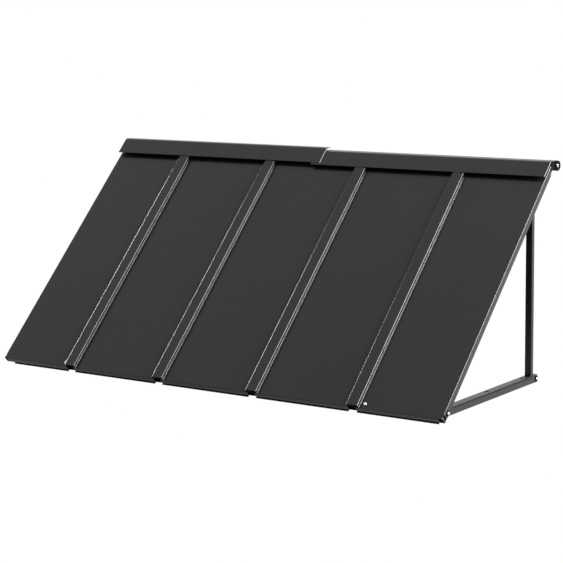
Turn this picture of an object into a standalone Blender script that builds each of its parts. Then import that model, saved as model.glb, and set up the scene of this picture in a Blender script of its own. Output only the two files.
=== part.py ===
# Metal door canopy: a 45 degree standing seam roof on two side frames, fixed to a wall by its rear rail.
# Metres, +Z up. The wall is the plane y = 0, the canopy reaches out along -Y, and +X is its width.
# The origin is the middle of the flat land on the back of the wall rail.

import math

import bmesh
import bpy
from mathutils import Matrix, Vector

# Overall sizes
ROOF_WIDTH = 2.000            # between the outer folds of the two end pans
PROJECTION = 0.8565           # wall to the eave fold
SLOPE = math.radians(45)
GAP = 0.0003                  # between pieces that touch

# Roof pans and seams
SEAM_COUNT = 4
SEAM_PITCH = 0.4317
PAN_SHEET = 0.0008
PAN_BEND = 0.0016
LIP_HEIGHT = 0.018            # eave lip, folded square to the slope
LIP_END_CLEAR = 0.005         # from a seam cover's side to the end of the lip
LIP_CORNER_CLEAR = 0.0145     # from the roof's side fold to the end of the lip
SIDE_FLANGE = 0.026           # outer flange of the two end pans
FLANGE_START = 0.021          # along the slope, where the side flange begins
CORNER_TAB_END = 0.009        # along the slope, where the corner tab ends
CORNER_TAB_START = 0.0024
RELIEF_DEPTH = 0.003          # cut into the pan between the corner tab and the flange
UPSTAND_START = 0.006

# Seam covers and the battens inside them
COVER_WIDTH = 0.042
COVER_HEIGHT = 0.015
COVER_FOOT = 0.003
COVER_SHEET = 0.0008
COVER_BEND = 0.0012
BATTEN_SHEET = 0.0012
BATTEN_BEND = 0.0012
COVER_START = 0.001           # along the slope from the eave fold

# Ridge caps
CAP_SHEET = 0.0010
CAP_BEND = 0.010
CAP_FACE_LEFT = 0.076         # sloped face, from its lower edge to the bend's corner
CAP_FACE_RIGHT = 0.0715
CAP_OVERHANG = 0.0025
CAP_LAP_X = 0.022             # right end of the upper cap
CAP_LAP = 0.040
CAP_LAP_STEP = 0.014          # the upper cap sits this much further up the slope
CAP_WALL_CLEAR = 0.002

# Wall rail, an extruded section
RAIL_PORT_RADIUS = 0.019      # outside of the round port
RAIL_BORE_RADIUS = 0.0045
RAIL_LAND = 0.012             # height of the flat land that meets the wall
RAIL_LEG_FRONT = 0.0695       # front face of the leg, from the wall
RAIL_LEG = 0.011
ROOF_ABOVE_PORT = 0.003       # the roof's upper face over the port's axis, where it meets the leg's front
RAIL_TIP_DROP = 0.0265        # tip of the leg below the port's axis
RAIL_BELLY_DROP = 0.012       # underside of the box chamber below the port's axis
RAIL_WALL = 0.0025
RAIL_LEDGE = 0.042
RAIL_LEDGE_SHEET = 0.002
END_CAP = 0.0025

# Front rail, a folded channel that opens forwards
FRONT_RAIL_DEPTH = 0.046
FRONT_RAIL_HEIGHT = 0.0375
FRONT_RAIL_SHEET = 0.0015
FRONT_RAIL_BEND = 0.0015
FRONT_RAIL_INSET = 0.029      # from the roof's side fold to the rail's end
PLUG_IN_RAIL = 0.026
PLUG_STEP = 0.0095            # outside the rail the plug's underside is this much higher

# Side frames
FRAME_INSET = 0.080           # from the roof's side fold to the outer face of a side frame
ARM_WIDTH = 0.033
ARM_HEIGHT = 0.028
ARM_DROP = 0.006              # top of the arm below the eave fold
ARM_SHEET = 0.0020
ARM_BEND = 0.0010
ARM_WALL_CLEAR = 0.002        # rear end of the arm to the wall
ARM_NOSE = 0.045              # slanted cut at the arm's front end
SLOT_LENGTH = 0.024
SLOT_WIDTH = 0.009
REAR_SLOT_FROM_WALL = 0.0975  # to the centre of the rear slot
FRONT_SLOT_FROM_WALL = 0.3685
RAFTER_HEIGHT = 0.0215
RAFTER_WALL = 0.0015
POST_WIDTH = 0.027
POST_DEPTH = 0.019
POST_WALL = 0.0015
POST_BACK = 0.037             # rear face of the post from the wall
TUBE_CORNER = 0.0020          # outer corner radius of the rafters and posts

# Brackets, gussets and fasteners
BRACKET_SHEET = 0.003
BRACKET_LENGTH = 0.052
BRACKET_HOLE = 0.009
GUSSET_SHEET = 0.004
GUSSET_WIDTH = 0.050
GUSSET_BACK = 0.100           # front corner of the gusset behind the eave fold
GUSSET_EDGE = 0.003
WASHER_RADIUS = 0.0095
WASHER_SHEET = 0.0012
NUT_RADIUS = 0.0075
NUT_HEIGHT = 0.006
BOLT_HEAD_RADIUS = 0.0072
BOLT_HEAD = 0.0045
BOLT_SHANK_RADIUS = 0.0038
BOLT_SOCKET_RADIUS = 0.0026
BOLT_SOCKET_DEPTH = 0.0028
SHANK_CLEAR = 0.0006
ARM_BOLT_FROM_WALL = 0.0117
BOLT_PROUD = 0.002            # tip of an arm bolt beyond its nut
RAIL_BOLT_LENGTH = 0.030
FLANGE_BOLT_LENGTH = 0.024
FLANGE_BOLT_ALONG = 0.0368    # along the slope from the eave fold
FLANGE_BOLT_UNDER = 0.0165    # square to the slope, under the roof's upper face
PAN_SCREW_FROM_SEAM = 0.03845
PAN_SCREW_S = 0.0195
PAN_SCREW_RADIUS = 0.006
PAN_SCREW_HEAD = 0.0028
PAN_SCREW_SHANK = 0.0022
PAN_SCREW_LENGTH = 0.012
PAN_SCREW_TIP = 0.003

CUT_OVER = 0.002              # a cutter reaches this far past what it cuts
ARC_STEPS = 5
ROUND_SIDES = 24
BOLT_SIDES = 20
CROWN_STEPS = 3

leg_front = -RAIL_LEG_FRONT
eave = Vector((0.0, -PROJECTION, ROOF_ABOVE_PORT - (PROJECTION - RAIL_LEG_FRONT) * math.tan(SLOPE)))
half_width = ROOF_WIDTH / 2
frame_outer = half_width - FRAME_INSET
seam_places = [(i - (SEAM_COUNT - 1) / 2) * SEAM_PITCH for i in range(SEAM_COUNT)]
under_pan = -PAN_SHEET - GAP
port_centre = Vector((-math.sqrt(RAIL_PORT_RADIUS ** 2 - (RAIL_LAND / 2) ** 2), 0.0))


# Colours read from the photo, and the few finishes of the object
FINISHES = {
    "roof_coat": ((0.045, 0.045, 0.045), 0.42, 0.15),
    "frame_coat": ((0.035, 0.035, 0.035), 0.42, 0.15),
    "rail_coat": ((0.030, 0.030, 0.030), 0.45, 0.15),
    "black_plastic": ((0.008, 0.008, 0.008), 0.50, 0.0),
    "zinc": ((0.720, 0.720, 0.720), 0.28, 1.0),
}


def clear_scene():
    for thing in list(bpy.data.objects):
        bpy.data.objects.remove(thing, do_unlink=True)


def new_collection(name):
    collection = bpy.data.collections.new(name)
    bpy.context.scene.collection.children.link(collection)
    return collection


def finish_material(name, finish):
    colour, roughness, metallic = FINISHES[finish]
    material = bpy.data.materials.new(name + "_" + finish)
    material.use_nodes = True
    shader = material.node_tree.nodes["Principled BSDF"]
    shader.inputs["Base Color"].default_value = (*colour, 1.0)
    shader.inputs["Roughness"].default_value = roughness
    shader.inputs["Metallic"].default_value = metallic
    material.diffuse_color = (*colour, 1.0)
    return material


clear_scene()
parts = new_collection("metal_door_canopy")
cutters = new_collection("cutters")

# The slope frame: its Y axis runs up the roof from the eave fold, and its Z axis stands square on the roof.
slope_frame = bpy.data.objects.new("slope_frame", None)
parts.objects.link(slope_frame)
slope_frame.location = eave
slope_frame.rotation_euler = (SLOPE, 0.0, 0.0)

# Turns of an outline's plane: its two axes become the two named ones, and its extrusion the third.
PLANE_TURNS = {
    "yz": Matrix(((0, 0, 1, 0), (1, 0, 0, 0), (0, 1, 0, 0), (0, 0, 0, 1))),
    "xz": Matrix(((1, 0, 0, 0), (0, 0, -1, 0), (0, 1, 0, 0), (0, 0, 0, 1))),
    "xy": Matrix.Identity(4),
}


def slope_point(along, square):
    # World y and z of a point of the slope frame
    y = eave.y + along * math.cos(SLOPE) - square * math.sin(SLOPE)
    z = eave.z + along * math.sin(SLOPE) + square * math.cos(SLOPE)
    return Vector((y, z))


def along_at_depth(y, square):
    # Place along the slope, at a height square to it, of the upright plane at y
    return (y - eave.y + square * math.sin(SLOPE)) / math.cos(SLOPE)


def rotated(vector, angle):
    c, s = math.cos(angle), math.sin(angle)
    return Vector((c * vector.x - s * vector.y, s * vector.x + c * vector.y))


def arc(centre, radius, start, end, steps):
    angles = [start + (end - start) * k / steps for k in range(steps + 1)]
    return [centre + radius * Vector((math.cos(a), math.sin(a))) for a in angles]


def folded_sheet(path, thickness, inner_radius):
    # Outline of a folded sheet: the path runs along one face, and the sheet lies on its left
    path = [Vector(p) for p in path]
    face, back = [], []
    for i, corner in enumerate(path):
        before = (corner - path[i - 1]).normalized() if i > 0 else None
        after = (path[i + 1] - corner).normalized() if i + 1 < len(path) else None
        if before is None or after is None:
            run = after or before
            face.append(corner)
            back.append(corner + thickness * Vector((-run.y, run.x)))
            continue
        turn = math.atan2(before.x * after.y - before.y * after.x, before.dot(after))
        side = 1.0 if turn > 0 else -1.0
        radius = inner_radius + thickness if turn > 0 else inner_radius
        start = corner - before * radius * math.tan(abs(turn) / 2)
        spoke = -side * Vector((-before.y, before.x))
        centre = start - spoke * radius
        for k in range(ARC_STEPS + 1):
            ray = rotated(spoke, turn * k / ARC_STEPS)
            face.append(centre + ray * radius)
            back.append(centre + ray * (radius - side * thickness))
    return face + back[::-1]


def outline_mesh(name, loops, low, high, plane):
    # A flat outline with its holes, extruded between low and high along the third axis
    curve = bpy.data.curves.new(name, "CURVE")
    curve.dimensions = "2D"
    curve.fill_mode = "BOTH"
    curve.extrude = (high - low) / 2
    for loop in loops:
        spline = curve.splines.new("POLY")
        spline.points.add(len(loop) - 1)
        for point, place in zip(spline.points, loop):
            point.co = (place[0], place[1], 0.0, 1.0)
        spline.use_cyclic_u = True
    drawn = bpy.data.objects.new(name + "_outline", curve)
    parts.objects.link(drawn)
    bpy.context.view_layer.update()
    graph = bpy.context.evaluated_depsgraph_get()
    mesh = bpy.data.meshes.new_from_object(drawn.evaluated_get(graph))
    bpy.data.objects.remove(drawn, do_unlink=True)
    bpy.data.curves.remove(curve)
    middle = (low + high) / 2
    turn = PLANE_TURNS[plane]
    shift = turn @ Matrix.Translation((0.0, 0.0, -middle if plane == "xz" else middle))
    mesh.transform(shift)
    work = bmesh.new()
    work.from_mesh(mesh)
    bmesh.ops.remove_doubles(work, verts=work.verts, dist=1e-6)
    bmesh.ops.recalc_face_normals(work, faces=work.faces)
    work.to_mesh(mesh)
    work.free()
    mesh.name = name
    return mesh


def place(name, mesh, finish, on_slope=False):
    thing = bpy.data.objects.new(name, mesh)
    mesh.materials.clear()
    mesh.materials.append(finish_material(name, finish))
    parts.objects.link(thing)
    if on_slope:
        thing.parent = slope_frame
    return thing


def extruded(name, loops, low, high, plane, finish, on_slope=False):
    return place(name, outline_mesh(name, loops, low, high, plane), finish, on_slope)


def cutter(name, mesh, on_slope=False):
    thing = bpy.data.objects.new(name, mesh)
    cutters.objects.link(thing)
    thing.hide_render = True
    thing.display_type = "WIRE"
    if on_slope:
        thing.parent = slope_frame
    return thing


def cut(thing, tool):
    boolean = thing.modifiers.new("cut_" + tool.name, "BOOLEAN")
    boolean.operation = "DIFFERENCE"
    boolean.solver = "EXACT"
    boolean.object = tool


def plumb_block():
    # Cutter behind the front face of the wall rail's leg, for what ends upright against it
    name = "plumb_cut"
    if name in bpy.data.objects:
        return bpy.data.objects[name]
    reach = RAIL_LEG_FRONT + CUT_OVER
    block = rectangle(leg_front - GAP, -reach, leg_front + reach, reach)
    return cutter(name, outline_mesh(name, [block], -ROOF_WIDTH, ROOF_WIDTH, "yz"))


def round_cutter(name, radius, centre, low, high, plane, on_slope=False):
    loop = arc(Vector(centre), radius, 0.0, math.tau * (ROUND_SIDES - 1) / ROUND_SIDES, ROUND_SIDES - 1)
    return cutter(name, outline_mesh(name, [loop], low, high, plane), on_slope)


def rectangle(low_x, low_y, high_x, high_y):
    return [(low_x, low_y), (high_x, low_y), (high_x, high_y), (low_x, high_y)]


def turned(name, profile, axis_matrix, finish, on_slope=False):
    # A turned piece: its profile runs from the axis at the head down the outer side to the axis at the tip
    mesh = bpy.data.meshes.new(name)
    edges = [(i, i + 1) for i in range(len(profile) - 1)]
    mesh.from_pydata([(r, 0.0, z) for r, z in profile], edges, [])
    thing = place(name, mesh, finish, on_slope)
    screw = thing.modifiers.new("turn", "SCREW")
    screw.axis = "Z"
    screw.steps = BOLT_SIDES
    screw.render_steps = BOLT_SIDES
    screw.use_merge_vertices = True
    screw.merge_threshold = 0.00001
    thing.matrix_local = axis_matrix
    return thing


def bolt(name, seat, outward, length, on_slope=False, shank_radius=BOLT_SHANK_RADIUS):
    # Pan head bolt with a round socket: the seat is under its head, the shank runs against outward
    head, radius = BOLT_HEAD, BOLT_HEAD_RADIUS
    crown = arc(Vector((radius - head * 0.6, head * 0.4)), head * 0.6, math.pi / 2, 0.0, CROWN_STEPS)
    socket = [(0.0, head - BOLT_SOCKET_DEPTH), (BOLT_SOCKET_RADIUS, head - BOLT_SOCKET_DEPTH),
              (BOLT_SOCKET_RADIUS, head)]
    shank = [(radius, 0.0), (shank_radius, 0.0), (shank_radius, -length), (0.0, -length)]
    turn = Vector((0.0, 0.0, 1.0)).rotation_difference(Vector(outward)).to_matrix().to_4x4()
    profile = socket + [tuple(p) for p in crown] + shank
    return turned(name, profile, Matrix.Translation(seat) @ turn, "zinc", on_slope)


def folded_pan(name, low_x, high_x, left, right):
    # One roof pan: a flat sheet with its eave lip and side folds, then bent and thickened
    length = along_at_depth(leg_front, 0.0) + PAN_SHEET * 4
    mesh = bpy.data.meshes.new(name)
    work = bmesh.new()
    bmesh.ops.create_grid(work, x_segments=1, y_segments=1, size=0.5)
    for vert in work.verts:
        vert.co.x = low_x if vert.co.x < 0 else high_x
        vert.co.y = 0.0 if vert.co.y < 0 else length
    notches = []
    for edge_x, inward, kind in ((low_x, 1.0, left), (high_x, -1.0, right)):
        if kind == "seam":
            lip_end = LIP_END_CLEAR + COVER_WIDTH / 2 - upstand_face
            notches.append((edge_x, edge_x + inward * lip_end, 0.0, UPSTAND_START))
        else:
            notches.append((edge_x, edge_x + inward * RELIEF_DEPTH, CORNER_TAB_END, FLANGE_START))
            notches.append((edge_x, edge_x + inward * LIP_CORNER_CLEAR, 0.0, CORNER_TAB_START))
    for x_a, x_b, s_a, s_b in notches:
        for place_x in (x_a, x_b):
            slice_sheet(work, (place_x, 0, 0), (1, 0, 0))
        for place_s in (s_a, s_b):
            slice_sheet(work, (0, place_s, 0), (0, 1, 0))
    bmesh.ops.delete(work, geom=[f for f in work.faces if in_notch(f, notches)], context="FACES")
    fold(work, lambda a, b: abs(a.y) < 1e-6 and abs(b.y) < 1e-6, -LIP_HEIGHT)
    for edge_x, kind in ((low_x, left), (high_x, right)):
        drop = cover_inner_top - GAP if kind == "seam" else -SIDE_FLANGE
        fold(work, lambda a, b: abs(a.x - edge_x) < 1e-6 and abs(b.x - edge_x) < 1e-6
             and abs(a.z) < 1e-6 and abs(b.z) < 1e-6, drop)
    bmesh.ops.recalc_face_normals(work, faces=work.faces)
    if sum(f.normal.z * f.calc_area() for f in work.faces) < 0:
        bmesh.ops.reverse_faces(work, faces=work.faces)
    work.to_mesh(mesh)
    work.free()
    pan = place(name, mesh, "roof_coat", on_slope=True)
    bend = pan.modifiers.new("bends", "BEVEL")
    bend.width = PAN_BEND
    bend.segments = 4
    bend.limit_method = "ANGLE"
    bend.angle_limit = math.radians(40)
    sheet = pan.modifiers.new("sheet", "SOLIDIFY")
    sheet.thickness = PAN_SHEET
    sheet.offset = -1.0
    sheet.use_even_offset = True
    cut(pan, plumb_block())
    return pan


def slice_sheet(work, point, normal):
    geometry = work.verts[:] + work.edges[:] + work.faces[:]
    bmesh.ops.bisect_plane(work, geom=geometry, plane_co=point, plane_no=normal, dist=1e-6)


def in_notch(face, notches):
    centre = face.calc_center_median()
    for x_a, x_b, s_a, s_b in notches:
        if min(x_a, x_b) < centre.x < max(x_a, x_b) and s_a < centre.y < s_b:
            return True
    return False


def fold(work, chosen, height):
    # Pulls the chosen edges of the sheet up or down into a flange
    edges = [e for e in work.edges if e.is_boundary and chosen(e.verts[0].co, e.verts[1].co)]
    made = bmesh.ops.extrude_edge_only(work, edges=edges)
    verts = [v for v in made["geom"] if isinstance(v, bmesh.types.BMVert)]
    bmesh.ops.translate(work, verts=verts, vec=(0.0, 0.0, height))


# Seen across a seam from its middle: the pan's edge, whose upstand leans on the batten
cover_inner_top = COVER_HEIGHT - COVER_SHEET
upstand_face = COVER_WIDTH / 2 - COVER_SHEET - GAP - PAN_BEND
batten_half = upstand_face - PAN_SHEET - GAP


def make_pans():
    edges = [-half_width] + seam_places + [half_width]
    for i in range(SEAM_COUNT + 1):
        left = "flange" if i == 0 else "seam"
        right = "flange" if i == SEAM_COUNT else "seam"
        low = edges[i] + (upstand_face if left == "seam" else 0.0)
        high = edges[i + 1] - (upstand_face if right == "seam" else 0.0)
        folded_pan("roof_pan_%d" % (i + 1), low, high, left, right)


def make_seams():
    length = along_at_depth(leg_front - GAP, -PAN_SHEET)
    half = COVER_WIDTH / 2
    foot = GAP + COVER_SHEET
    cover_path = [(half + COVER_FOOT, foot), (half, foot), (half, COVER_HEIGHT),
                  (-half, COVER_HEIGHT), (-half, foot), (-half - COVER_FOOT, foot)]
    batten_top = cover_inner_top - GAP - COVER_BEND
    batten_path = [(batten_half, -PAN_SHEET), (batten_half, batten_top),
                   (-batten_half, batten_top), (-batten_half, -PAN_SHEET)]
    for i, x in enumerate(seam_places):
        cover = folded_sheet(cover_path, COVER_SHEET, COVER_BEND)
        batten = folded_sheet(batten_path, BATTEN_SHEET, BATTEN_BEND)
        extruded("seam_cover_%d" % (i + 1), [[(p[0] + x, p[1]) for p in cover]],
                 COVER_START, length, "xz", "roof_coat", on_slope=True)
        extruded("seam_batten_%d" % (i + 1), [[(p[0] + x, p[1]) for p in batten]],
                 COVER_START, length, "xz", "rail_coat", on_slope=True)


def cap_outline(face, lift, step):
    # Section of a ridge cap in world y and z: a flat top that reaches the wall, a soft bend, a sloped face
    square = COVER_HEIGHT + GAP + CAP_SHEET + lift
    rail_top = RAIL_PORT_RADIUS + GAP + CAP_SHEET
    corner_z = rail_top + lift + step * math.sin(SLOPE)
    corner_along = (corner_z - eave.z - square * math.cos(SLOPE)) / math.sin(SLOPE)
    corner = slope_point(corner_along, square)
    lower = slope_point(corner_along - face, square)
    return folded_sheet([(-CAP_WALL_CLEAR, corner_z), corner, lower], CAP_SHEET, CAP_BEND)


def make_caps():
    outer = half_width + CAP_OVERHANG
    extruded("ridge_cap_right", [cap_outline(CAP_FACE_RIGHT, 0.0, 0.0)],
             CAP_LAP_X - CAP_LAP, outer, "yz", "roof_coat")
    extruded("ridge_cap_left", [cap_outline(CAP_FACE_LEFT, CAP_SHEET + GAP, CAP_LAP_STEP)],
             -outer, CAP_LAP_X, "yz", "roof_coat")


def rail_outline():
    # Outside of the wall rail: ledge under the pans, pointed leg, box chamber, round port with its flat land
    ledge_top = under_pan
    ledge_low = ledge_top - RAIL_LEDGE_SHEET
    top_along = along_at_depth(leg_front, ledge_top)
    low_along = along_at_depth(leg_front, ledge_low)
    ledge = [slope_point(top_along, ledge_top), slope_point(top_along - RAIL_LEDGE, ledge_top),
             slope_point(top_along - RAIL_LEDGE, ledge_low), slope_point(low_along, ledge_low)]
    tip = [Vector((leg_front, -RAIL_TIP_DROP)), Vector((leg_front + RAIL_LEG, -RAIL_BELLY_DROP))]
    land = math.asin(RAIL_LAND / 2 / RAIL_PORT_RADIUS)
    belly = -math.pi + math.asin(RAIL_BELLY_DROP / RAIL_PORT_RADIUS)
    below = arc(port_centre, RAIL_PORT_RADIUS, belly, -land, 14)
    above = arc(port_centre, RAIL_PORT_RADIUS, land, math.pi / 2, 10)
    return ledge + tip + below + above + [Vector((leg_front, RAIL_PORT_RADIUS))]


def rail_chamber():
    low = -RAIL_BELLY_DROP + RAIL_WALL
    high = RAIL_PORT_RADIUS - RAIL_WALL
    front = leg_front + RAIL_WALL
    back = port_centre.x - RAIL_PORT_RADIUS
    return rectangle(front, low, back, high)


def circle(centre, radius, sides=ROUND_SIDES):
    return arc(Vector(centre), radius, 0.0, math.tau * (sides - 1) / sides, sides - 1)


def make_wall_rail():
    bore = circle(port_centre, RAIL_BORE_RADIUS)
    extruded("wall_rail", [rail_outline(), rail_chamber(), bore],
             -half_width + END_CAP + GAP, half_width - END_CAP - GAP, "yz", "rail_coat")
    end_outline = rail_outline()[4:]
    hole = circle(port_centre, BOLT_SHANK_RADIUS + SHANK_CLEAR)
    for side, sign in (("left", -1.0), ("right", 1.0)):
        faces = sorted((sign * (half_width - END_CAP), sign * half_width))
        cap_loops = [[Vector((leg_front, -RAIL_TIP_DROP))] + end_outline[1:], hole]
        extruded("rail_end_cap_" + side, cap_loops, faces[0], faces[1], "yz", "black_plastic")
        seat = (sign * (half_width + GAP), port_centre.x, port_centre.y)
        bolt("rail_bolt_" + side, seat, (sign, 0, 0), RAIL_BOLT_LENGTH)


def make_front_rail():
    # Folded channel behind the lips: it opens towards the eave, its web is at the back
    top = under_pan
    low = top - FRONT_RAIL_HEIGHT
    front = PAN_SHEET + PAN_BEND + GAP
    path = [(front, top), (FRONT_RAIL_DEPTH, top), (FRONT_RAIL_DEPTH, low), (front, low)]
    section = folded_sheet(path[::-1], FRONT_RAIL_SHEET, FRONT_RAIL_BEND)
    end = half_width - FRONT_RAIL_INSET
    rail = extruded("front_rail", [section], -end, end, "yz", "rail_coat", on_slope=True)
    inner = FRONT_RAIL_SHEET + GAP
    along, square = FLANGE_BOLT_ALONG, -FLANGE_BOLT_UNDER
    for side, sign in (("left", -1.0), ("right", 1.0)):
        screw_x = sign * (seam_places[-1] + PAN_SCREW_FROM_SEAM)
        hole = round_cutter("pan_screw_hole_" + side, PAN_SCREW_SHANK + SHANK_CLEAR / 2,
                            (screw_x, PAN_SCREW_S), low + FRONT_RAIL_SHEET * 2, COVER_HEIGHT, "xy", True)
        cut(rail, hole)
        pan = bpy.data.objects["roof_pan_%d" % (1 if sign < 0 else SEAM_COUNT + 1)]
        cut(pan, hole)
        make_plug(side, sign, (front, low + inner), (FRONT_RAIL_DEPTH - inner, top - inner))
        reach = sorted((sign * (half_width - PAN_SHEET - CUT_OVER), sign * (half_width + CUT_OVER)))
        cut(pan, bolt_hole("flange_hole_" + side, (along, square), *reach, on_slope=True))
        washer("flange_washer_" + side, (along, square), sign, half_width, on_slope=True)
        seat = (sign * (half_width + GAP * 2 + WASHER_SHEET), along, square)
        bolt("flange_bolt_" + side, seat, (sign, 0, 0), FLANGE_BOLT_LENGTH, on_slope=True)
        make_pan_screw("pan_screw_" + side, screw_x)


def make_plug(side, sign, low_front, high_back):
    # Block in the rail's end that reaches out to the side flange, with its underside stepped up outside
    rail_end = half_width - FRONT_RAIL_INSET
    faces = sorted((sign * (rail_end - PLUG_IN_RAIL), sign * (half_width - PAN_SHEET - GAP)))
    loop = rounded_rectangle(*low_front, *high_back, FRONT_RAIL_BEND + GAP)
    hole = circle((FLANGE_BOLT_ALONG, -FLANGE_BOLT_UNDER), BOLT_SHANK_RADIUS + SHANK_CLEAR)
    plug = extruded("front_rail_plug_" + side, [loop, hole], *faces, "yz", "black_plastic", on_slope=True)
    over = CUT_OVER
    step = rectangle(low_front[0] - over, low_front[1] - over, high_back[0] + over, low_front[1] + PLUG_STEP)
    outside = sorted((sign * (rail_end + GAP), sign * (half_width + over)))
    name = "plug_step_" + side
    cut(plug, cutter(name, outline_mesh(name, [step], *outside, "yz"), on_slope=True))


def washer(name, centre, sign, face, on_slope=False):
    # Flat washer on an upright face whose outside looks along sign * X
    loops = [circle(centre, WASHER_RADIUS), circle(centre, BOLT_SHANK_RADIUS + SHANK_CLEAR / 2)]
    faces = sorted((sign * (face + GAP), sign * (face + GAP + WASHER_SHEET)))
    extruded(name, loops, faces[0], faces[1], "yz", "black_plastic", on_slope)


def make_pan_screw(name, x):
    head = PAN_SCREW_HEAD
    dome = [(PAN_SCREW_RADIUS * math.cos(a), head * math.sin(a))
            for a in [math.pi / 2 * (1 - k / 6) for k in range(7)]]
    dome[0] = (0.0, head)
    shank = [(PAN_SCREW_SHANK, 0.0), (PAN_SCREW_SHANK, PAN_SCREW_TIP - PAN_SCREW_LENGTH),
             (0.0, -PAN_SCREW_LENGTH)]
    turned(name, dome + shank, Matrix.Translation((x, PAN_SCREW_S, GAP)), "zinc", on_slope=True)


def tube_loops(low_x, high_x, low_z, high_z, wall):
    outer = rounded_rectangle(low_x, low_z, high_x, high_z, TUBE_CORNER)
    inner = rectangle(low_x + wall, low_z + wall, high_x - wall, high_z - wall)
    return [outer, inner]


def rounded_rectangle(low_x, low_y, high_x, high_y, radius):
    corners = [(high_x - radius, high_y - radius, 0), (low_x + radius, high_y - radius, 1),
               (low_x + radius, low_y + radius, 2), (high_x - radius, low_y + radius, 3)]
    loop = []
    for x, y, quarter in corners:
        loop += arc(Vector((x, y)), radius, quarter * math.pi / 2, (quarter + 1) * math.pi / 2, 3)
    return loop


def make_side_frame(side, sign):
    outer = sign * frame_outer
    inner = sign * (frame_outer - ARM_WIDTH)
    low_x, high_x = sorted((outer, inner))
    arm_top = eave.z - ARM_DROP
    arm_low = arm_top - ARM_HEIGHT
    make_arm(side, low_x, high_x, arm_low, arm_top)
    make_rafter(side, low_x, high_x)
    make_post(side, outer, sign, arm_top)
    make_bracket(side, sign, low_x, high_x, arm_low, arm_top)
    make_gusset(side, sign, arm_low, arm_top)


def make_arm(side, low_x, high_x, low_z, high_z):
    # Folded channel, open below, with two slots in its top and a slanted nose
    path = [(high_x, low_z), (high_x, high_z), (low_x, high_z), (low_x, low_z)]
    section = folded_sheet(path, ARM_SHEET, ARM_BEND)
    rail_under = slope_point(0.0, under_pan - FRONT_RAIL_HEIGHT - GAP * 2)
    front = rail_under.x + (high_z - rail_under.y) / math.tan(SLOPE)
    arm = extruded("arm_" + side, [section], front, -ARM_WALL_CLEAR, "xz", "frame_coat")
    over = CUT_OVER
    nose = [(front - over, high_z), (front, high_z), (front + ARM_NOSE, low_z),
            (front + ARM_NOSE, low_z - over), (front - over, low_z - over)]
    name = "nose_cut_" + side
    cut(arm, cutter(name, outline_mesh(name, [nose], low_x - over, high_x + over, "yz")))
    middle = (low_x + high_x) / 2
    half = SLOT_LENGTH / 2 - SLOT_WIDTH / 2
    for i, from_wall in enumerate((REAR_SLOT_FROM_WALL, FRONT_SLOT_FROM_WALL)):
        loop = arc(Vector((middle, half - from_wall)), SLOT_WIDTH / 2, 0.0, math.pi, 8)
        loop += arc(Vector((middle, -half - from_wall)), SLOT_WIDTH / 2, math.pi, math.tau, 8)
        name = "slot_%s_%d" % (side, i + 1)
        cut(arm, cutter(name, outline_mesh(name, [loop], high_z - ARM_SHEET * 2, high_z + over, "xy")))


def make_rafter(side, low_x, high_x):
    # Rectangular tube under the end pan, from the front rail to the wall rail, with a plumb upper end
    top = under_pan - RAIL_LEDGE_SHEET - GAP
    loops = tube_loops(low_x, high_x, top - RAFTER_HEIGHT, top, RAFTER_WALL)
    end = along_at_depth(leg_front, top)
    rafter = extruded("rafter_" + side, loops, FRONT_RAIL_DEPTH + GAP, end, "xz", "frame_coat", on_slope=True)
    cut(rafter, plumb_block())


def make_post(side, outer, sign, arm_top):
    low_x, high_x = sorted((outer, outer - sign * POST_WIDTH))
    loops = tube_loops(low_x, high_x, -POST_BACK - POST_DEPTH, -POST_BACK, POST_WALL)
    extruded("post_" + side, loops, arm_top + GAP, -RAIL_BELLY_DROP - GAP, "xy", "frame_coat")


def bolt_hole(name, centre, low_x, high_x, on_slope=False):
    return round_cutter(name, BOLT_SHANK_RADIUS + SHANK_CLEAR / 2, centre, low_x, high_x, "yz", on_slope)


def make_bracket(side, sign, low_x, high_x, low_z, high_z):
    # Wall bracket: a folded U whose back lies on the wall and whose two ears run into the arm
    fit = ARM_SHEET + GAP
    path = [(high_x - fit, -BRACKET_LENGTH), (high_x - fit, 0.0), (low_x + fit, 0.0),
            (low_x + fit, -BRACKET_LENGTH)]
    section = folded_sheet(path, BRACKET_SHEET, ARM_BEND)
    bracket = extruded("wall_bracket_" + side, [section], low_z + GAP, high_z - fit, "xy", "frame_coat")
    middle = (low_x + high_x) / 2
    centre_z = (low_z + high_z - ARM_SHEET) / 2
    over = CUT_OVER
    hole = outline_mesh("wall_hole_" + side, [circle((middle, centre_z), BRACKET_HOLE / 2, 16)],
                        -BRACKET_SHEET - over, over, "xz")
    cut(bracket, cutter("wall_hole_" + side, hole))
    centre = (-ARM_BOLT_FROM_WALL, centre_z)
    through = bolt_hole("arm_bolt_hole_" + side, centre, low_x - over, high_x + over)
    cut(bracket, through)
    cut(bpy.data.objects["arm_" + side], through)
    washer("arm_washer_" + side, centre, sign, frame_outer)
    seat_x = frame_outer + WASHER_SHEET + GAP * 2
    length = seat_x - (frame_outer - ARM_WIDTH) + NUT_HEIGHT + BOLT_PROUD
    bolt("arm_bolt_" + side, (sign * seat_x, *centre), (sign, 0, 0), length)
    hexagon = arc(Vector(centre), NUT_RADIUS, 0.0, math.tau * 5 / 6, 5)
    nut_face = frame_outer - ARM_WIDTH - GAP
    faces = sorted((sign * nut_face, sign * (nut_face - NUT_HEIGHT)))
    extruded("arm_nut_" + side, [hexagon, circle(centre, BOLT_SHANK_RADIUS + GAP)], faces[0], faces[1],
             "yz", "zinc")


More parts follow.
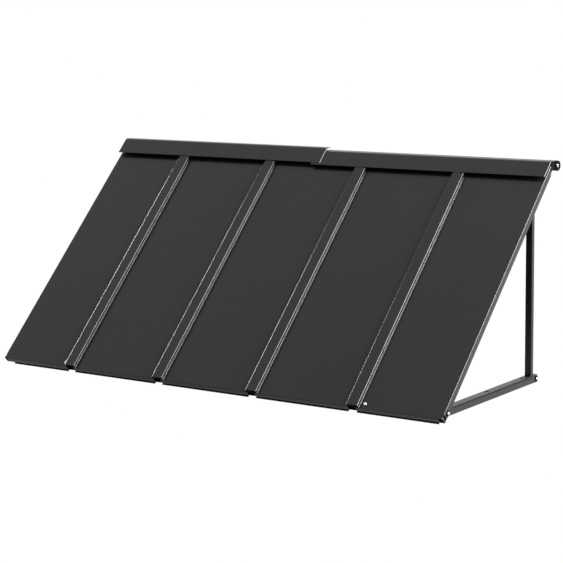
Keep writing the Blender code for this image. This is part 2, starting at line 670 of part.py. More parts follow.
def make_gusset(side, sign, arm_low, arm_top):
    # Flat plate on the inner side of the frame that ties the arm's front to the rafter above it
    frame_face = frame_outer - ARM_WIDTH
    outside = sign * (frame_face - GAP)
    inside = sign * (frame_face - GAP - GUSSET_SHEET)
    rafter_top = under_pan - RAIL_LEDGE_SHEET - GAP
    front_y = eave.y + GUSSET_BACK
    back_y = front_y + GUSSET_WIDTH
    top = [slope_point(along_at_depth(y, rafter_top - GUSSET_EDGE), rafter_top - GUSSET_EDGE)
           for y in (back_y, front_y)]
    loop = [(front_y, arm_low + GUSSET_EDGE), (back_y, arm_low + GUSSET_EDGE)] + top
    gusset = extruded("gusset_" + side, [loop], *sorted((outside, inside)), "yz", "frame_coat")
    middle_y = (front_y + back_y) / 2
    rafter_middle = rafter_top - RAFTER_HEIGHT / 2
    on_rafter = slope_point(along_at_depth(middle_y, rafter_middle), rafter_middle)
    centres = {"arm": Vector((middle_y, (arm_low + arm_top) / 2)), "rafter": on_rafter}
    for member, centre in centres.items():
        reach = sorted((sign * (frame_face - GUSSET_SHEET * 2), sign * (frame_face + ARM_SHEET * 2)))
        hole = bolt_hole("gusset_hole_%s_%s" % (member, side), centre, *reach)
        cut(gusset, hole)
        cut(bpy.data.objects["%s_%s" % (member, side)], hole)
        seat = (sign * (frame_face - GAP * 2 - GUSSET_SHEET), centre.x, centre.y)
        bolt("gusset_bolt_%s_%s" % (member, side), seat, (-sign, 0, 0), GUSSET_SHEET + ARM_SHEET * 3)


make_pans()
make_seams()
make_caps()
make_wall_rail()
make_front_rail()
for frame_side, frame_sign in (("left", -1.0), ("right", 1.0)):
    make_side_frame(frame_side, frame_sign)
bpy.context.view_layer.update()
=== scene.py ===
import math
import bmesh
import bpy
from mathutils import Matrix, Vector


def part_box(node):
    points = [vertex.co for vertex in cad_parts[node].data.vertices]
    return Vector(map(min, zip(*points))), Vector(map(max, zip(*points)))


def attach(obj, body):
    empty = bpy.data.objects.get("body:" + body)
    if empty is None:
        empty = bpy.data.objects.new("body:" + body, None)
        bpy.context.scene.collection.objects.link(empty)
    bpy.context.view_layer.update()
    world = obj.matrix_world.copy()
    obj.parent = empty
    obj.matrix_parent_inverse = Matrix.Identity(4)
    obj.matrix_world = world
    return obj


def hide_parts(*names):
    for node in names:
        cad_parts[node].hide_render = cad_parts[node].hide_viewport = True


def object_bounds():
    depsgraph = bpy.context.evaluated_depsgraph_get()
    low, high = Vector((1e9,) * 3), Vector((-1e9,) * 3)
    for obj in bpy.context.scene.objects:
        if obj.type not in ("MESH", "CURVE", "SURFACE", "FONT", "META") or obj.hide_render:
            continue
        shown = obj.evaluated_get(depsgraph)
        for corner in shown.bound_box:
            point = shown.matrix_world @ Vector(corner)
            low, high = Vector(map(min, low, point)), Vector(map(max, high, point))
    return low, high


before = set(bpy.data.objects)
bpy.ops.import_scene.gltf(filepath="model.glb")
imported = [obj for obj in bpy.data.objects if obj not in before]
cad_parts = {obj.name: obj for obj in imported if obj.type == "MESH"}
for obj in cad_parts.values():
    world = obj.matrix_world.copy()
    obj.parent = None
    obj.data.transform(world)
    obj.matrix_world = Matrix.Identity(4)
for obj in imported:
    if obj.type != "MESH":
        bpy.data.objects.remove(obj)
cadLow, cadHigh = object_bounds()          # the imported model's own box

# The roof plane: its eave fold in the frame, and the pitch
roof = {
    "pitch": math.radians(45),
    "eaveY": -0.8565,
    "eaveZ": -0.784,
    "halfWidth": 1.0,
    "cutAt": -0.0698,                  # what runs up the slope ends upright here, before the wall rail
    "pans": 5,
}
roofTurn = Matrix.Translation((0, roof["eaveY"], roof["eaveZ"])) @ Matrix.Rotation(roof["pitch"], 4, "X")
still = Matrix.Identity(4)
alongX = Matrix.Rotation(math.pi / 2, 4, "Y")          # turns a round piece's axis from Z to X
standing = Matrix.Rotation(math.pi / 2, 4, "X")        # stands a flat piece up, facing the front
xAxis, yAxis, zAxis = range(3)


# Modelling by hand: small helpers round the edit mode tools

modelling = {
    "same": 0.00001,                   # places closer than this are one place
    "weld": 0.000001,
    "along": 0.9,                      # an edge or a normal lies along an axis from this share of it on
    "across": 0.1,                     # and across it up to this one
    "fold": math.radians(20),          # edges that turn more than this are folds
    "soften": 60,                      # edges that turn more degrees than this are softened
    "round": math.radians(32),         # edges that turn less than this are shaded round
    "flatWeight": 100,
    "sides": 48,
    "overlap": 0.001,                  # how far joined solids and short cutters run over an edge
    "past": 0.01,                      # how far long cutters run past the piece
}


def leaveEdit():
    if bpy.context.mode == "EDIT_MESH":
        bpy.ops.object.mode_set(mode="OBJECT")


def putDown():
    leaveEdit()
    bpy.ops.object.select_all(action="DESELECT")


def takeUp(obj):
    putDown()
    obj.select_set(True)
    bpy.context.view_layer.objects.active = obj


def startEdit(name, scale):
    obj = bpy.context.object
    obj.name = name
    obj.scale = scale
    bpy.ops.object.transform_apply(location=True, rotation=True, scale=True)
    bpy.ops.object.mode_set(mode="EDIT")
    bpy.ops.mesh.select_mode(type="EDGE")
    return obj


def newPlane(name, lowX, highX, lowY, highY, height=0.0):
    putDown()
    bpy.ops.mesh.primitive_plane_add(size=1, location=((lowX + highX) / 2, (lowY + highY) / 2, height))
    return startEdit(name, (highX - lowX, highY - lowY, 1))


def newBlock(name, low, high):
    putDown()
    bpy.ops.mesh.primitive_cube_add(size=1, location=[(a + b) / 2 for a, b in zip(low, high)])
    return startEdit(name, [b - a for a, b in zip(low, high)])


def newCylinder(name, radius, low, high, sides=modelling["sides"]):
    # Its axis is Z, through the origin
    putDown()
    bpy.ops.mesh.primitive_cylinder_add(vertices=sides, radius=radius, depth=high - low,
                                        location=(0, 0, (low + high) / 2))
    return startEdit(name, (1, 1, 1))


# Tests for picking edges and faces

def at(value, place):
    return abs(value - place) < modelling["same"]


def along(run, axis):
    return abs(run[axis]) > modelling["along"]


def across(run, axis):
    return abs(run[axis]) < modelling["across"]


def anywhere(middle, run):
    return True


def anyEdge(edge):
    return True


def openEdge(edge):
    return edge.is_boundary


def foldEdge(edge):
    return len(edge.link_faces) == 2 and edge.calc_face_angle() > modelling["fold"]


def pickEdges(obj, wanted, kind=anyEdge):
    # Selects the edges of one kind whose middle and direction pass the test, and says how many there are
    bpy.ops.mesh.select_mode(type="EDGE")
    bpy.ops.mesh.select_all(action="DESELECT")
    cage = bmesh.from_edit_mesh(obj.data)
    count = 0
    for edge in cage.edges:
        middle = (edge.verts[0].co + edge.verts[1].co) / 2
        run = (edge.verts[1].co - edge.verts[0].co).normalized()
        if kind(edge) and wanted(middle, run):
            edge.select_set(True)
            count += 1
    bmesh.update_edit_mesh(obj.data)
    return count


def pickFaces(obj, wanted):
    # Selects the faces whose middle and normal pass the test
    bpy.ops.mesh.select_mode(type="FACE")
    bpy.ops.mesh.select_all(action="DESELECT")
    cage = bmesh.from_edit_mesh(obj.data)
    for face in cage.faces:
        if wanted(face.calc_center_median(), face.normal):
            face.select_set(True)
    bmesh.update_edit_mesh(obj.data)


def pull(x=0.0, y=0.0, z=0.0):
    bpy.ops.mesh.extrude_region_move(TRANSFORM_OT_translate={"value": (x, y, z)})


def shift(x=0.0, y=0.0, z=0.0):
    bpy.ops.transform.translate(value=(x, y, z))


def divide(point, normal):
    # Cuts new edges across the whole cage
    bpy.ops.mesh.select_all(action="SELECT")
    bpy.ops.mesh.bisect(plane_co=point, plane_no=normal)


def cutOff(obj, point, normal):
    # Cuts a solid through and closes it, and drops what lies on the normal's side
    takeUp(obj)
    bpy.ops.object.mode_set(mode="EDIT")
    bpy.ops.mesh.select_all(action="SELECT")
    bpy.ops.mesh.bisect(plane_co=point, plane_no=normal, use_fill=True, clear_outer=True)
    leaveEdit()


def cutSlope(obj):
    cutOff(obj, (0, roof["cutAt"], 0), (0, 1, 0))


def roundFolds(obj, radius, steps, wanted=anywhere):
    # Bevels the folds that pass the test
    if pickEdges(obj, wanted, foldEdge):
        bpy.ops.mesh.bevel(offset=radius, segments=steps, affect="EDGES", clamp_overlap=True)


def applyLast(obj, modifier):
    bpy.context.view_layer.objects.active = obj
    bpy.ops.object.modifier_apply(modifier=modifier.name)


def turnInto(obj, turn):
    # Puts the piece in its place
    takeUp(obj)
    obj.matrix_world = turn
    bpy.ops.object.transform_apply(location=True, rotation=True, scale=True)


def softEdges(obj, radius, angle=modelling["soften"], steps=2):
    leaveEdit()
    soft = obj.modifiers.new("edges", "BEVEL")
    soft.width = radius
    soft.segments = steps
    soft.limit_method = "ANGLE"
    soft.angle_limit = math.radians(angle)
    applyLast(obj, soft)


def sheetOf(obj, thickness, turn, side=-1):
    # Gives the sheet its thickness, under the modelled face or over it, and puts it in its place
    bpy.ops.mesh.select_all(action="SELECT")
    bpy.ops.mesh.remove_doubles(threshold=modelling["weld"])
    leaveEdit()
    solid = obj.modifiers.new("sheet", "SOLIDIFY")
    solid.thickness = thickness
    solid.offset = side
    solid.use_even_offset = True
    applyLast(obj, solid)
    turnInto(obj, turn)


def combine(obj, tool, operation):
    # Joins another solid to this one or cuts it out, and removes the other
    leaveEdit()
    boolean = obj.modifiers.new("combine", "BOOLEAN")
    boolean.operation = operation
    boolean.solver = "EXACT"
    boolean.object = tool
    applyLast(obj, boolean)
    bpy.data.objects.remove(tool, do_unlink=True)


def shade(obj):
    # Rounded edges look round, and flat faces stay flat
    takeUp(obj)
    bpy.ops.object.shade_smooth_by_angle(angle=modelling["round"])
    flat = obj.modifiers.new("flat", "WEIGHTED_NORMAL")
    flat.keep_sharp = True
    flat.weight = modelling["flatWeight"]
    applyLast(obj, flat)


def keep(obj, material, slot, *nodes):
    shade(obj)
    obj.data.materials.clear()
    obj.data.materials.append(material)
    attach(obj, "root")
    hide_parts(*nodes)


# Roof pans: a flat sheet, the eave lip with its clear ends, and an upstand or a side flange at each side

pan = {
    "end": 1.118,
    "sheet": 0.0008,
    "bend": (0.0026, 5),               # radius and steps
    "lip": 0.0215,
    "seamTab": 0.010,                  # the lip's left end reaches this far under the seam
    "seamClear": 0.0077,
    "upstandFrom": 0.006,
    "upstand": 0.0136,
    "cornerClear": 0.0145,
    "tabFrom": 0.0024,
    "tabTo": 0.009,
    "flangeFrom": 0.021,
    "flange": 0.026,
    "relief": 0.003,
}


def panNotches(sides):
    # What is cut from the front corners: the side edge, the notch's inner end, and its start and end
    notches = []
    for edge, inward, outer in sides:
        if outer:
            notches.append((edge, edge + inward * pan["cornerClear"], 0, pan["tabFrom"]))
            notches.append((edge, edge + inward * pan["relief"], pan["tabTo"], pan["flangeFrom"]))
        elif inward < 0:
            notches.append((edge, edge + inward * pan["seamClear"], 0, pan["upstandFrom"]))
    return notches


def makePan(number, coat):
    node = "roof_pan_%d" % number
    low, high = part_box(node)
    obj = newPlane("roofPan%d" % number, low.x, high.x, 0, pan["end"])
    sides = ((low.x, 1, number == 1), (high.x, -1, number == roof["pans"]))
    notches = panNotches(sides)
    if number > 1:
        divide((0, pan["upstandFrom"], 0), (0, 1, 0))
    for edge, inner, start, end in notches:
        divide((inner, 0, 0), (1, 0, 0))
        for line in (start, end):
            if line > 0:
                divide((0, line, 0), (0, 1, 0))
    for edge, inner, start, end in notches:
        pickFaces(obj, lambda middle, normal: min(edge, inner) < middle.x < max(edge, inner)
                  and start < middle.y < end)
        bpy.ops.mesh.delete(type="FACE")
    pickEdges(obj, lambda middle, run: at(middle.y, 0), openEdge)
    pull(z=-pan["lip"])
    for edge, inward, outer in sides:
        start = 0 if outer else pan["upstandFrom"]
        pickEdges(obj, lambda middle, run: at(middle.x, edge) and at(middle.z, 0) and middle.y > start,
                  openEdge)
        pull(z=-pan["flange"] if outer else pan["upstand"])
    if number > 1:
        pickEdges(obj, lambda middle, run: at(middle.x, low.x) and at(middle.y, 0) and middle.z < 0
                  and along(run, zAxis), openEdge)
        pull(x=-pan["seamTab"])
    roundFolds(obj, *pan["bend"])
    sheetOf(obj, pan["sheet"], roofTurn)
    cutSlope(obj)
    keep(obj, coat, "roof_coat", node)


# Seam battens, seen at their front ends and from below

batten = {
    "start": 0.001,
    "end": 1.118,
    "top": 0.0127,
    "foot": -0.0008,
    "sheet": 0.0012,
    "bend": (0.0024, 4),
}


def makeBatten(number, coat):
    node = "seam_batten_%d" % number
    low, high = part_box(node)
    obj = newPlane("seamBatten%d" % number, low.x, high.x, batten["start"], batten["end"], batten["top"])
    pickEdges(obj, lambda middle, run: along(run, yAxis))
    pull(z=batten["foot"] - batten["top"])
    roundFolds(obj, *batten["bend"])
    sheetOf(obj, batten["sheet"], roofTurn)
    cutSlope(obj)
    keep(obj, coat, "rail_coat", node)


# Seam covers: a folded channel with a hemmed foot on each side

cover = {
    "height": 0.015,
    "foot": 0.003,
    "hem": 0.0026,
    "sheet": 0.0008,
    "topRounds": (0.0005, 0.0030),     # left and right
    "topSteps": 6,
    "facet": (0.0032, 0.00142),        # along the left fold, its width and how far it falls
    "facetEdge": (0.0002, 2),
    "footRound": (0.0012, 4),
    "start": 0.001,
    "end": 1.1115,
    "lift": 0.0003,
    "moreLeft": 0.005,                 # the left wall stands this much further out than the right one
}


def makeCover(number, coat):
    node = "seam_cover_%d" % number
    low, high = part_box(node)
    seam = (low.x + high.x) / 2
    half = (high.x - low.x) / 2 - cover["foot"]
    left, right = walls = (-half - cover["moreLeft"], half)
    obj = newPlane("seamCover%d" % number, left, right, cover["start"], cover["end"], cover["height"])
    footTop = cover["lift"] + cover["hem"]
    facet, fall = cover["facet"]
    divide((left + facet, 0, 0), (1, 0, 0))
    pickEdges(obj, lambda middle, run: at(middle.x, left) and along(run, yAxis))
    shift(z=-fall)
    for side, wall in zip((-1, 1), walls):
        pickEdges(obj, lambda middle, run: at(middle.x, wall) and along(run, yAxis))
        pull(z=footTop - cover["height"] + (fall if side < 0 else 0))
        pull(x=side * cover["foot"])
        pull(z=-cover["hem"])
    for radius, wall in zip(cover["topRounds"], walls):
        roundFolds(obj, radius, cover["topSteps"],
                   lambda middle, run: middle.z > cover["height"] / 2 and at(middle.x, wall))
    roundFolds(obj, *cover["facetEdge"], lambda middle, run: at(middle.x, left + facet))
    roundFolds(obj, *cover["footRound"], lambda middle, run: at(middle.z, footTop))
    sheetOf(obj, cover["sheet"], roofTurn @ Matrix.Translation((seam, 0, 0)))
    keep(obj, coat, "roof_coat", node)
    return obj


# Ridge caps: a flat top towards the wall, a bend and a sloped face with turned edges

cap = {
    "bend": 0.015,
    "bendSteps": 8,
    "skirt": 0.0030,
    "facet": (0.0010, 0.0015),         # at each end, its width and how far it falls
    "facetTo": 0.004,                  # it runs this far over the bend's corner
    "facetEdge": (0.0002, 2),
    "sheet": 0.0010,
    "faces": {"left": 0.076, "right": 0.0715},
    "facePart": 0.02,                  # the face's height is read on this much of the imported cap's front
    "topDepth": 0.027,                 # flat top, from the bend's corner
}


def makeCap(side, coat):
    node = "ridge_cap_" + side
    low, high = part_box(node)
    toSlope = roofTurn.inverted()
    points = [toSlope @ vertex.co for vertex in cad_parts[node].data.vertices]
    front = min(point.y for point in points)
    face = max(point.z for point in points if point.y < front + cap["facePart"])
    corner = (high.z - roof["eaveZ"] - face * math.cos(roof["pitch"])) / math.sin(roof["pitch"])
    foot = corner - cap["faces"][side]
    obj = newPlane("ridgeCap" + side.capitalize(), low.x, high.x, foot, corner, face)
    pickEdges(obj, lambda middle, run: at(middle.y, corner) and along(run, xAxis))
    pull(y=cap["topDepth"] * math.cos(roof["pitch"]), z=-cap["topDepth"] * math.sin(roof["pitch"]))
    roundFolds(obj, cap["bend"] * math.tan(roof["pitch"] / 2), cap["bendSteps"],
               lambda middle, run: along(run, xAxis))
    facet, fall = cap["facet"]
    for end, inner in ((low.x, low.x + facet), (high.x, high.x - facet)):
        divide((inner, 0, 0), (1, 0, 0))
        pickEdges(obj, lambda middle, run: at(middle.x, end) and across(run, xAxis)
                  and middle.y < corner + cap["facetTo"])
        shift(z=-fall)
        pickEdges(obj, lambda middle, run: at(middle.x, end) and across(run, xAxis))
        pull(z=fall - cap["skirt"])
    roundFolds(obj, *cap["facetEdge"], lambda middle, run: across(run, xAxis))
    sheetOf(obj, cap["sheet"], roofTurn)
    keep(obj, coat, "roof_coat", node)


# Wall rail: an extruded section with a ledge, a pointed leg, a box chamber and a round port

rail = {
    "front": -0.0695,
    "port": Vector((-0.018028, 0.0)),  # y and z of the port's axis
    "portRadius": 0.019,
    "sides": 72,
    "top": 0.019,
    "belly": -0.012,
    "tip": -0.0265,
    "leg": 0.011,
    "wall": 0.0025,
    "ledge": 0.042,
    "ledgeTop": -0.0011,
    "ledgeSheet": 0.002,
    "ledgeSpare": 0.003,               # how far the ledge runs on before it is cut upright
    "endCap": 0.0025,
    "capEdge": 0.0006,
    "collar": 0.0035,
    "collarRadius": 0.0179,
    "collarBore": 0.0084,
    "boltHead": 0.0018,
    "boltSocket": 0.0014,
    "gap": 0.0003,
}


def railSolid(name, lowX, highX):
    # The closed part of the section, without the ledge
    port, front, belly, tip = (rail[key] for key in ("port", "front", "belly", "tip"))
    obj = newCylinder(name, rail["portRadius"], lowX, highX, rail["sides"])
    turnInto(obj, Matrix.Translation((0, port.x, port.y)) @ alongX)
    combine(obj, newBlock("box", (lowX, front, belly), (highX, port.x, rail["top"])), "UNION")
    leg = newBlock("leg", (lowX, front, tip), (highX, front + rail["leg"], belly + modelling["overlap"]))
    cutOff(leg, (0, front, tip), (0, belly - tip, -rail["leg"]))
    combine(obj, leg, "UNION")
    cutOff(obj, (0, 0, 0), (0, 1, 0))
    return obj


def makeWallRail(coat):
    half = roof["halfWidth"] - rail["endCap"] - rail["gap"]
    obj = railSolid("wallRail", -half, half)
    under = rail["ledgeTop"] - rail["ledgeSheet"]
    top = (rail["front"] - roof["eaveY"]) / math.cos(roof["pitch"]) + rail["ledgeTop"]
    ledge = newBlock("ledge", (-half, top - rail["ledge"], under),
                     (half, top + rail["ledgeSpare"], rail["ledgeTop"]))
    turnInto(ledge, roofTurn)
    cutOff(ledge, (0, rail["front"] + modelling["overlap"], 0), (0, 1, 0))
    combine(obj, ledge, "UNION")
    wall, past = rail["wall"], modelling["past"]
    hollow = newBlock("hollow", (-half - past, rail["front"] + wall, rail["belly"] + wall),
                      (half + past, rail["port"].x - rail["portRadius"], rail["top"] - wall))
    combine(obj, hollow, "DIFFERENCE")
    keep(obj, coat, "rail_coat", "wall_rail")


def makeEndCap(side, sign, plastic):
    low, high = sorted((sign * roof["halfWidth"], sign * (roof["halfWidth"] - rail["endCap"])))
    obj = railSolid("railEndCap" + side.capitalize(), low, high)
    port = Matrix.Translation((sign * roof["halfWidth"], rail["port"].x, rail["port"].y)) @ alongX
    root, top = sorted((-sign * rail["endCap"] / 2, sign * rail["collar"]))
    collar = newCylinder("collar", rail["collarRadius"], root, top, rail["sides"])
    turnInto(collar, port)
    combine(obj, collar, "UNION")
    root, top = sorted((0, sign * modelling["past"]))
    bore = newCylinder("bore", rail["collarBore"], root, top)
    turnInto(bore, port)
    combine(obj, bore, "DIFFERENCE")
    softEdges(obj, rail["capEdge"])
    keep(obj, plastic, "black_plastic", "rail_end_cap_" + side)


# Front rail and its end plugs, in the slope's frame

frontRail = {
    "front": 0.0027,
    "back": 0.046,
    "top": -0.0011,
    "height": 0.0375,
    "halfLength": 0.971,
    "sheet": 0.0015,
    "bend": (0.0030, 5),
    "notch": (-0.040, -0.006),         # cut in the lower flange's edge, from each seam's middle
    "notchDeep": 0.011,
    "notchHeight": 0.006,
    "plugIn": 0.945,
    "plugOut": 0.9989,
    "plugFit": 0.0018,
    "plugStep": 0.0095,
    "plugRound": (0.0012, 50, 3),      # radius, the angle it starts from, and steps
}


def makeFrontRail(coat):
    half, front, back = (frontRail[key] for key in ("halfLength", "front", "back"))
    obj = newPlane("frontRail", -half, half, front, back, frontRail["top"])
    pickEdges(obj, lambda middle, run: at(middle.y, back) and along(run, xAxis))
    pull(z=-frontRail["height"])
    pull(y=front - back)
    roundFolds(obj, *frontRail["bend"])
    sheetOf(obj, frontRail["sheet"], still)
    foot = frontRail["top"] - frontRail["height"]
    over = modelling["overlap"]
    for number in range(1, roof["pans"]):
        low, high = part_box("seam_cover_%d" % number)
        start, end = [(low.x + high.x) / 2 + x for x in frontRail["notch"]]
        notch = newBlock("notch", (start, -over, foot - over),
                         (end, frontRail["notchDeep"], foot + frontRail["notchHeight"]))
        combine(obj, notch, "DIFFERENCE")
    turnInto(obj, roofTurn)
    keep(obj, coat, "rail_coat", "front_rail")


def makePlug(side, sign, plastic):
    fit = frontRail["plugFit"]
    inner, outer = sorted((sign * frontRail["plugIn"], sign * frontRail["plugOut"]))
    low = frontRail["top"] - frontRail["height"] + fit
    high = frontRail["top"] - fit
    back = frontRail["back"] - fit
    obj = newBlock("frontRailPlug" + side.capitalize(), (inner, frontRail["front"], low),
                   (outer, back, high))
    divide((sign * (frontRail["halfLength"] + rail["gap"]), 0, 0), (1, 0, 0))
    pickFaces(obj, lambda middle, normal: normal.z < 0 and along(normal, zAxis)
              and abs(middle.x) > frontRail["halfLength"])
    shift(z=frontRail["plugStep"])
    softEdges(obj, *frontRail["plugRound"])
    turnInto(obj, roofTurn)
    keep(obj, plastic, "black_plastic", "front_rail_plug_" + side)


# Side frames: arm, post, rafter, gusset and wall bracket

sideFrame = {
    "armHeight": 0.028,
    "armSheet": 0.0020,
    "armBend": (0.0028, 4),
    "groove": (0.0030, 0.0044, 0.0034),    # how far under the arm's top, its width and its depth
    "nose": 0.045,
    "slots": (0.0975, 0.3685),
    "slotLength": 0.024,
    "slotWidth": 0.0105,
    "slotEnd": (0.999, 8),             # its radius, as a share of half the width, and steps
    "slotCut": (0.002, 0.006),         # how far over the arm's top the cutter starts, and its height
    "tubeCorner": (0.0026, 5),
    "tubeWall": 0.0015,
    "tubeDeep": 0.05,
    "rafterTop": -0.0034,
    "rafterHeight": 0.0215,
    "rafterStart": 0.0463,
    "gussetTop": -0.0064,
    "gussetSoften": 30,
    "bracketSheet": 0.003,
    "bracketLength": 0.052,
    "bracketBend": (0.0040, 5),
    "bracketHole": 0.0045,
    "edge": 0.0004,
}


def cutSlot(obj, middle, place, top):
    # An oval slot through the arm's top
    wide, long = sideFrame["slotWidth"] / 2, sideFrame["slotLength"] / 2
    share, steps = sideFrame["slotEnd"]
    above, deep = sideFrame["slotCut"]
    slot = newPlane("slot", middle - wide, middle + wide, -place - long, -place + long, top + above)
    bpy.ops.mesh.select_all(action="SELECT")
    bpy.ops.mesh.bevel(offset=wide * share, segments=steps, affect="VERTICES")
    bpy.ops.mesh.select_all(action="SELECT")
    pull(z=-deep)
    bpy.ops.mesh.select_all(action="SELECT")
    bpy.ops.mesh.normals_make_consistent(inside=False)
    combine(obj, slot, "DIFFERENCE")


def makeArm(side, coat):
    node = "arm_" + side
    low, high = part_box(node)
    obj = newPlane("arm" + side.capitalize(), low.x, high.x, low.y, high.y, high.z)
    pickEdges(obj, lambda middle, run: along(run, yAxis))
    pull(z=-sideFrame["armHeight"])
    roundFolds(obj, *sideFrame["armBend"])
    under, wide, deep = sideFrame["groove"]
    valley = high.z - under - wide / 2
    for line in (-wide / 2, 0, wide / 2):
        divide((0, 0, valley + line), (0, 0, 1))
    for wall, inward in ((low.x, deep), (high.x, -deep)):
        pickEdges(obj, lambda middle, run: at(middle.x, wall) and at(middle.z, valley))
        shift(x=inward)
    sheetOf(obj, sideFrame["armSheet"], still)
    cutOff(obj, (0, low.y, high.z), (0, -sideFrame["armHeight"], -sideFrame["nose"]))
    softEdges(obj, sideFrame["edge"])
    for place in sideFrame["slots"]:
        cutSlot(obj, (low.x + high.x) / 2, place, high.z)
    keep(obj, coat, "frame_coat", node)


def makeTube(name, node, low, high, turn, ends, coat):
    # Square tube along its longest side: rounded corners, and hollow at the named ends
    length = max(range(3), key=lambda axis: high[axis] - low[axis])
    corner, steps = sideFrame["tubeCorner"]
    obj = newBlock(name, low, high)
    pickEdges(obj, lambda middle, run: along(run, length))
    bpy.ops.mesh.bevel(offset=corner, segments=steps, affect="EDGES")
    for end in ends:
        pickFaces(obj, lambda middle, normal: normal[length] * end > modelling["along"])
        bpy.ops.mesh.inset(thickness=sideFrame["tubeWall"])
        inward = [0, 0, 0]
        inward[length] = -end * sideFrame["tubeDeep"]
        pull(*inward)
    turnInto(obj, turn)
    if turn is not still:
        cutSlope(obj)
    keep(obj, coat, "frame_coat", node)


def makePost(side, coat):
    low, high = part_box("post_" + side)
    makeTube("post" + side.capitalize(), "post_" + side, low, high, still, (-1, 1), coat)


def makeRafter(side, coat):
    low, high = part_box("rafter_" + side)
    start, top = sideFrame["rafterStart"], sideFrame["rafterTop"]
    makeTube("rafter" + side.capitalize(), "rafter_" + side,
             (low.x, start, top - sideFrame["rafterHeight"]), (high.x, pan["end"], top),
             roofTurn, (-1,), coat)


def makeGusset(side, coat):
    node = "gusset_" + side
    obj = newBlock("gusset" + side.capitalize(), *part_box(node))
    top = roofTurn @ Vector((0, 0, sideFrame["gussetTop"]))
    cutOff(obj, top, roofTurn.to_3x3() @ Vector((0, 0, 1)))
    softEdges(obj, sideFrame["edge"], sideFrame["gussetSoften"])
    keep(obj, coat, "frame_coat", node)


def makeBracket(side, coat):
    # Folded U: its back on the wall, its ears inside the arm
    node = "wall_bracket_" + side
    low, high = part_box(node)
    obj = newPlane("wallBracket" + side.capitalize(), low.x, high.x, low.z, high.z)
    pickEdges(obj, lambda middle, run: along(run, yAxis))
    pull(z=sideFrame["bracketLength"])
    roundFolds(obj, *sideFrame["bracketBend"])
    sheetOf(obj, sideFrame["bracketSheet"], standing, 1)
    hole = newCylinder("hole", sideFrame["bracketHole"], -modelling["past"], modelling["past"])
    middle = (low + high) / 2
    turnInto(hole, Matrix.Translation((middle.x, 0, middle.z)) @ standing)
    combine(obj, hole, "DIFFERENCE")
    softEdges(obj, sideFrame["edge"])
    keep(obj, coat, "frame_coat", node)


# Bolts, screws, nuts and washers

fastener = {
    "head": 0.0060,
    "headHeight": 0.0045,
    "headRound": 0.0022,
    "headSteps": 5,
    "socket": 0.0029,
    "socketDeep": 0.0026,
    "mostRound": 0.6,                  # on a low head the rounding takes no more than this share of it
    "mostDeep": 0.7,                   # and the socket no more than this one
    "hexagon": 6,
    "shank": 0.0037,
    "screwHead": 0.0060,
    "screwHeight": 0.0028,
    "screwRound": 0.0024,
    "screwShank": 0.0021,
    "screwLength": 0.0115,
    "screwSocket": 0.0018,
    "screwPlace": (0.0195, 0.0003),    # of its seat: up the slope and over the pan
    "nutRound": 0.0006,
    "nutSoften": 50,
    "washer": 0.0115,
    "washerBore": 0.0039,
    "washerEdge": 0.0003,
}


def turnedBolt(name, radius, height, rim, shank, length, turn, socket):
    # The seat is at the axis's origin, the head above it and the shank below
    obj = newCylinder(name, radius, 0, height)
    pickEdges(obj, lambda middle, run: at(middle.z, height) and across(run, zAxis))
    bpy.ops.mesh.bevel(offset=rim, segments=fastener["headSteps"], affect="EDGES")
    pickFaces(obj, lambda middle, normal: normal.z < 0 and along(normal, zAxis))
    bpy.ops.mesh.inset(thickness=radius - shank)
    pull(z=-length)
    deep = min(fastener["socketDeep"], height * fastener["mostDeep"])
    tool = newCylinder("socket", socket, height - deep, height + modelling["overlap"], fastener["hexagon"])
    combine(obj, tool, "DIFFERENCE")
    turnInto(obj, turn)
    return obj


def seatTurn(node, outward):
    # Where a bolt's seat is: at the shank's side of the head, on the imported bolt's axis
    low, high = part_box(node)
    middle = (low + high) / 2
    length = high.x - low.x
    edge = high.x - fastener["headHeight"] if outward > 0 else low.x + fastener["headHeight"]
    spin = Matrix.Rotation(outward * math.pi / 2, 4, "Y")
    return Matrix.Translation((edge, middle.y, middle.z)) @ spin, length - fastener["headHeight"]


def makeBolt(name, node, outward, zinc, height=fastener["headHeight"], socket=fastener["socket"]):
    turn, length = seatTurn(node, outward)
    rim = min(fastener["headRound"], height * fastener["mostRound"])
    obj = turnedBolt(name, fastener["head"], height, rim, fastener["shank"], length, turn, socket)
    keep(obj, zinc, "zinc", node)


def makeScrew(side, zinc):
    node = "pan_screw_" + side
    low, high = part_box(node)
    seat = Matrix.Translation(((low.x + high.x) / 2, *fastener["screwPlace"]))
    obj = turnedBolt("panScrew" + side.capitalize(), fastener["screwHead"], fastener["screwHeight"],
                     fastener["screwRound"], fastener["screwShank"], fastener["screwLength"],
                     roofTurn @ seat, fastener["screwSocket"])
    keep(obj, zinc, "zinc", node)


def boredDisc(name, radius, low, high, middle, sides=modelling["sides"]):
    # A washer or a nut before it is turned into place
    obj = newCylinder(name, radius, low.x - middle.x, high.x - middle.x, sides)
    bore = newCylinder("bore", fastener["washerBore"], -modelling["past"], modelling["past"])
    combine(obj, bore, "DIFFERENCE")
    return obj


def makeWasher(name, node, plastic):
    low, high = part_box(node)
    middle = (low + high) / 2
    obj = boredDisc(name, fastener["washer"], low, high, middle)
    turnInto(obj, Matrix.Translation(middle) @ alongX)
    softEdges(obj, fastener["washerEdge"])
    keep(obj, plastic, "black_plastic", node)


def makeNut(side, zinc):
    node = "arm_nut_" + side
    low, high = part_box(node)
    middle = (low + high) / 2
    name = "armNut" + side.capitalize()
    obj = boredDisc(name, (high.y - low.y) / 2, low, high, middle, fastener["hexagon"])
    softEdges(obj, fastener["nutRound"], fastener["nutSoften"])
    turnInto(obj, Matrix.Translation(middle) @ alongX @ Matrix.Rotation(math.pi / 2, 4, "Z"))
    keep(obj, zinc, "zinc", node)


# Camera, lamps, world and floor

